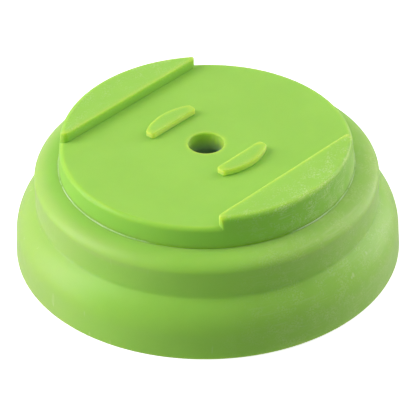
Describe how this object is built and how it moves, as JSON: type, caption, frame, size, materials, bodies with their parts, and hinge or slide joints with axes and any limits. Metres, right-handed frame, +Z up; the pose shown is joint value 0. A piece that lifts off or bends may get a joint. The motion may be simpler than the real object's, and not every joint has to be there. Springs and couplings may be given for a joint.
{
  "type": "vibration dampener",
  "caption": "Round two-tier silicone string-bed vibration dampener: flared hollow skirt, turning seat with string channels, ridges, ribs and a centre hole.",
  "frame": {"origin": "centre of the circle that the rim rests on, at the bottom of the part", "axes": "+Z up along the centre hole, +X along the string channels, +Y across them"},
  "size_m": [0.0242, 0.0242, 0.0082],
  "materials": {
    "skirt_silicone": "satin moulded silicone, slightly translucent apple green",
    "seat_silicone": "satin moulded silicone, slightly translucent apple green",
    "washer_plastic": "thin translucent pale film"
  },
  "bodies": {
    "skirt": {"outer_skirt": "skirt_silicone"},
    "washer": {"slip_washer": "washer_plastic"},
    "seat": {"string_seat": "seat_silicone"}
  },
  "joints": [
    {"name": "shoulder_give", "type": "slide", "parent": "skirt", "child": "washer", "axis": [0, 0, -1], "range_m": [0, 0.0004], "stiffness_N_per_m": 5000, "deforming": ["outer_skirt"]},
    {"name": "seat_turn", "type": "hinge", "parent": "washer", "child": "seat", "pos_m": [0, 0, 0.00626], "axis": [0, 0, 1], "continuous": true}
  ]
}
